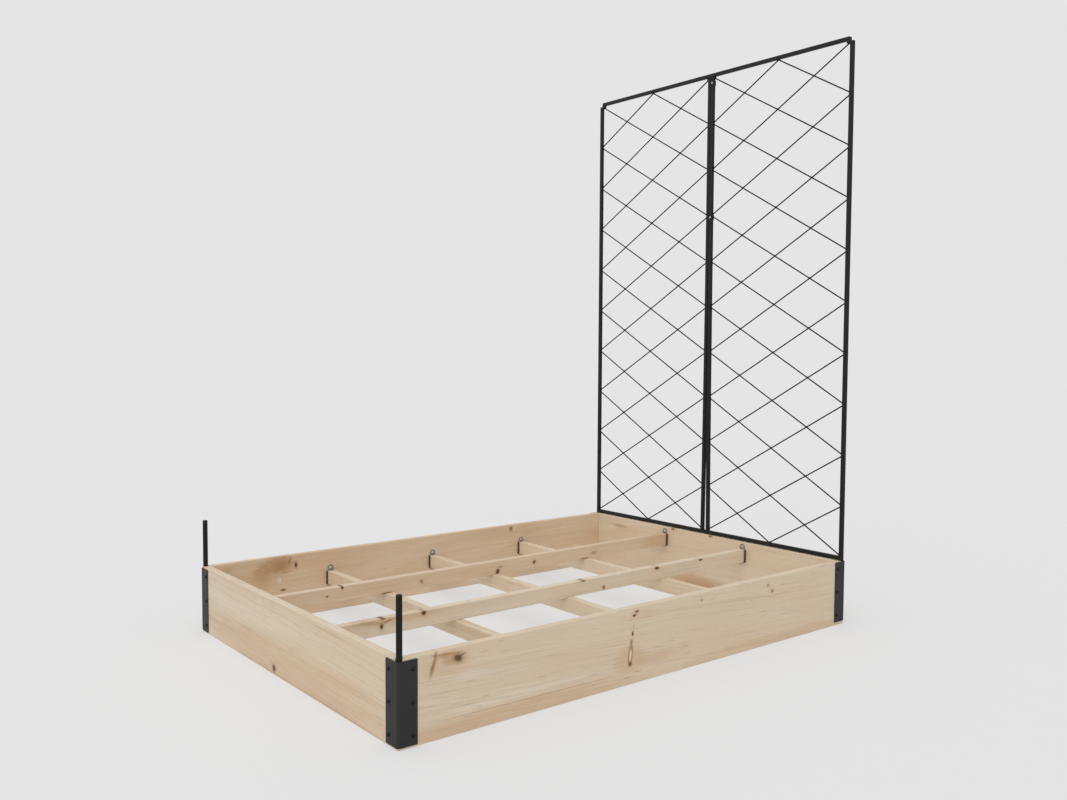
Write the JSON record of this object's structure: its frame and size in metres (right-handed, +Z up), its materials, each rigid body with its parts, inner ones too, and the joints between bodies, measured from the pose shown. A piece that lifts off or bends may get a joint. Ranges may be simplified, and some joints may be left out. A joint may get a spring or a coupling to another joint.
{
  "type": "planter with trellis",
  "caption": "Low open-bottomed wooden planter box, divided into planting cells by a lift-out bar grid, with corner pins and a lift-off wire trellis for climbers.",
  "frame": {"origin": "middle of the base, on the ground", "axes": "+Z up, +X across the planter to its right side seen from the front, +Y along it to the trellis end"},
  "size_m": [0.8686, 1.2286, 1.37],
  "materials": {
    "pine": "bare planed pine with knots",
    "bracket_paint": "satin black powder coat",
    "frame_paint": "satin black powder coat",
    "wire_paint": "satin black powder coat",
    "galvanised": "dull zinc plate",
    "screw_steel": "bright zinc plate",
    "dark_screw": "black coated"
  },
  "bodies": {
    "planter_box": {"back_board": "pine", "bracket_screws_back_left": "dark_screw", "bracket_screws_back_right": "dark_screw", "bracket_screws_front_left": "dark_screw", "bracket_screws_front_right": "dark_screw", "corner_bracket_back_left": "bracket_paint", "corner_bracket_back_right": "bracket_paint", "corner_bracket_front_left": "bracket_paint", "corner_bracket_front_right": "bracket_paint", "front_board": "pine", "hanger_back_board_left": "galvanised", "hanger_back_board_right": "galvanised", "hanger_front_board_left": "galvanised", "hanger_front_board_right": "galvanised", "hanger_left_board_back": "galvanised", "hanger_left_board_front": "galvanised", "hanger_left_board_middle": "galvanised", "hanger_right_board_back": "galvanised", "hanger_right_board_front": "galvanised", "hanger_right_board_middle": "galvanised", "hanger_screws_back": "screw_steel", "hanger_screws_front": "screw_steel", "hanger_screws_left": "screw_steel", "hanger_screws_right": "screw_steel", "left_side_board": "pine", "right_side_board": "pine"},
    "divider_grid": {"cross_divider_back": "pine", "cross_divider_front": "pine", "cross_divider_middle": "pine", "crossing_screws": "screw_steel", "long_divider_left": "pine", "long_divider_right": "pine"},
    "front_pin_left": {"front_pin_left": "frame_paint"},
    "front_pin_right": {"front_pin_right": "frame_paint"},
    "trellis": {"joining_screws": "screw_steel", "lattice_falling_left": "wire_paint", "lattice_falling_right": "wire_paint", "lattice_rising_left": "wire_paint", "lattice_rising_right": "wire_paint", "tie_plates": "frame_paint", "trellis_bottom_rail_left": "frame_paint", "trellis_bottom_rail_right": "frame_paint", "trellis_centre_stile_left": "frame_paint", "trellis_centre_stile_right": "frame_paint", "trellis_outer_stile_left": "frame_paint", "trellis_outer_stile_right": "frame_paint", "trellis_top_rail": "frame_paint"}
  },
  "joints": [
    {"name": "divider_grid_lift", "type": "slide", "parent": "planter_box", "child": "divider_grid", "axis": [0, 0, 1], "range_m": [0, 0.1]},
    {"name": "front_pin_left_lift", "type": "slide", "parent": "planter_box", "child": "front_pin_left", "axis": [0, 0, 1], "range_m": [0, 0.16]},
    {"name": "front_pin_right_lift", "type": "slide", "parent": "planter_box", "child": "front_pin_right", "axis": [0, 0, 1], "range_m": [0, 0.16]},
    {"name": "trellis_lift", "type": "slide", "parent": "planter_box", "child": "trellis", "axis": [0, 0, 1], "range_m": [0, 0.16]}
  ]
}
